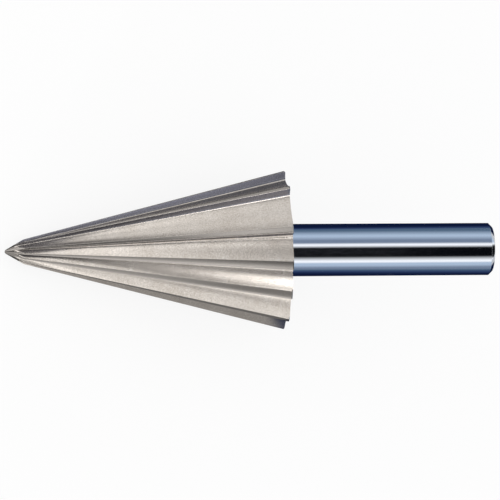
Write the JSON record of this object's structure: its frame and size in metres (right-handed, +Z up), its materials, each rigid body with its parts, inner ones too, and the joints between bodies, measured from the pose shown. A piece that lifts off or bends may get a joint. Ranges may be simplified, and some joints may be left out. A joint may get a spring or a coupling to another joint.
{
  "type": "plumbers reamer",
  "caption": "Tapered hand-drill reamer with straight fluted cone, ground point and round shank, for opening out and deburring pipe ends and holes.",
  "frame": {"origin": "on the surface the tool lies on, below the middle of its bounding box", "axes": "+X from the point to the shank, along the floor; +Z up. The tool's own axis rises from the point to the shank at about 14 degrees, because the cone lies on one flute."},
  "size_m": [0.0916, 0.03, 0.029],
  "materials": {
    "reamer": "blasted warm grey flutes, finely ground lands and point, polished shank"
  },
  "bodies": {
    "root": {"reamer": "reamer"}
  },
  "joints": []
}
